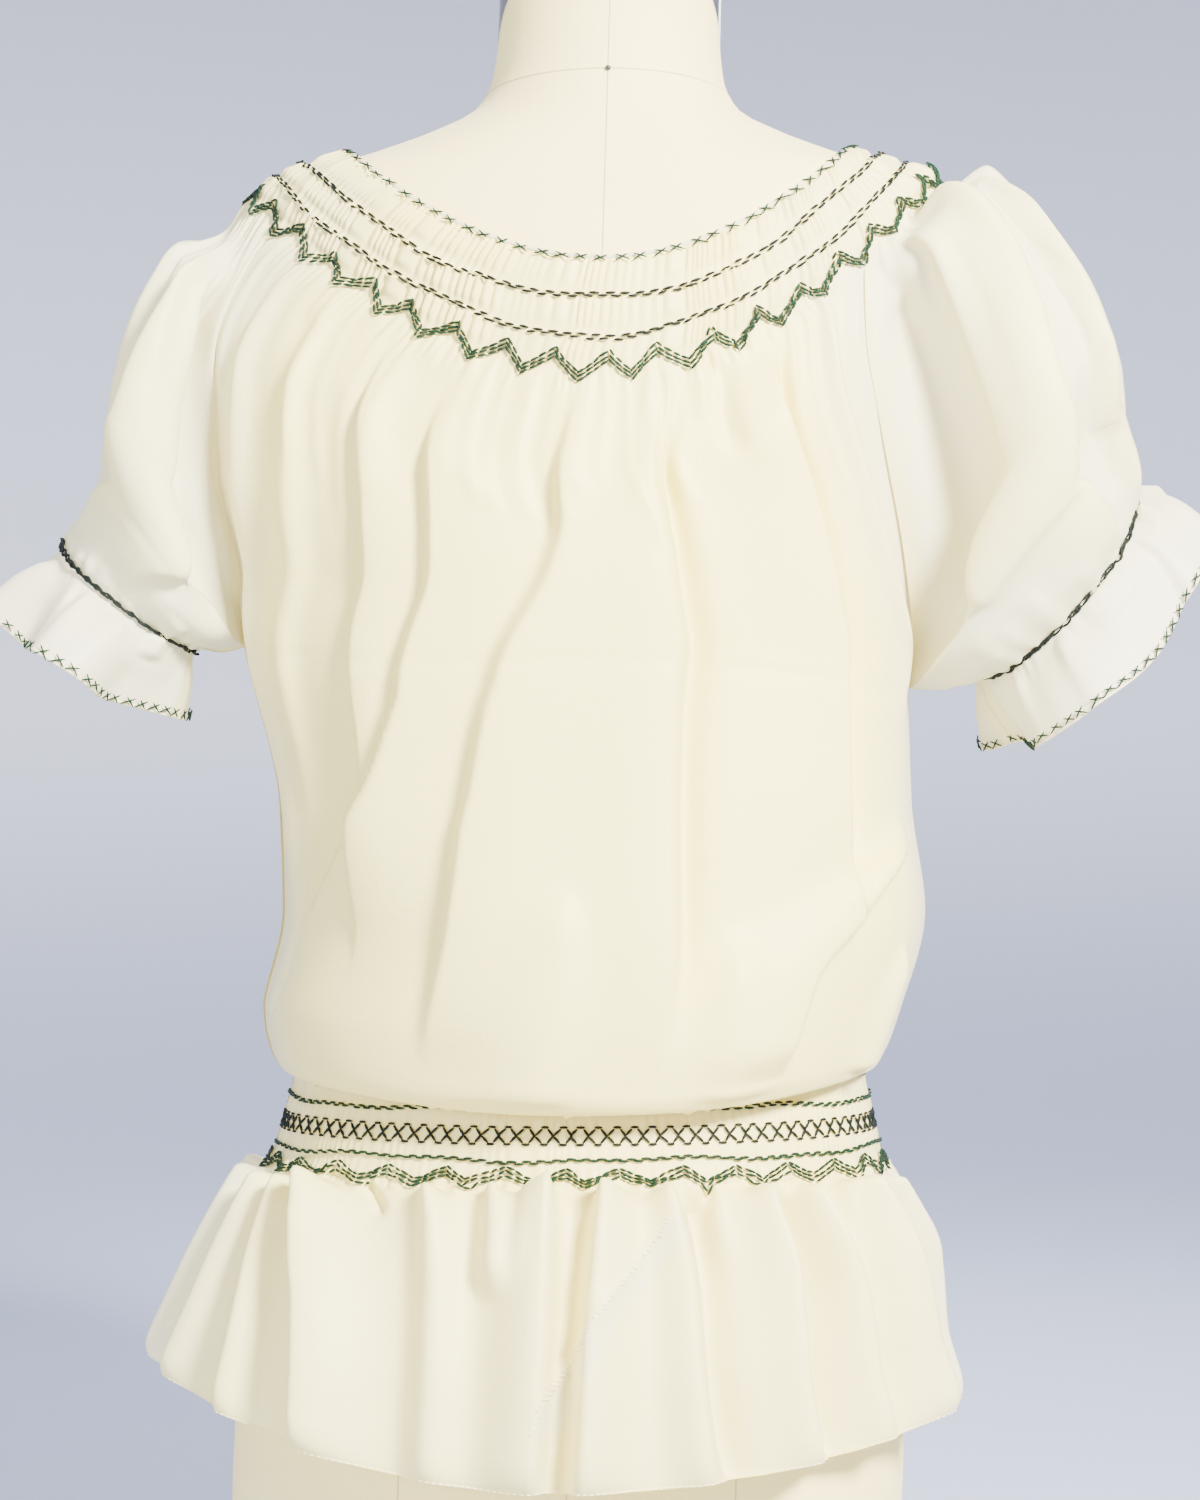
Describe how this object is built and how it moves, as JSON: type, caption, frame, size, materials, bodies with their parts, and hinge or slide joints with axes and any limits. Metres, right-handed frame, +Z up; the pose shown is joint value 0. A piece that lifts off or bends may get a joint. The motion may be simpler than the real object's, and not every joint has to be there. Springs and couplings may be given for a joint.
{
  "type": "peasant blouse on a dress form",
  "caption": "Cream peasant blouse with a smocked round neck, puffed raglan sleeves, smocked waist and flared peplum, worn by a limbless linen dress form.",
  "frame": {"origin": "centre of the dress form's flat underside, at the level that it stands on", "axes": "+Z up; -Y is towards the back of the form and of the blouse, the side that is shown; +X is to the viewer's right there"},
  "size_m": [0.5649, 0.2989, 0.786],
  "materials": {
    "cream_silk": "thin cream silk with a soft satin sheen",
    "linen_cover": "matt cream linen stretched over the form",
    "neck_cap": "dark satin enamel"
  },
  "bodies": {
    "root": {"blouse_back": "cream_silk", "blouse_front": "cream_silk", "sleeve_left": "cream_silk", "sleeve_right": "cream_silk", "form_torso": "linen_cover", "form_neck_cap": "neck_cap"}
  },
  "joints": []
}
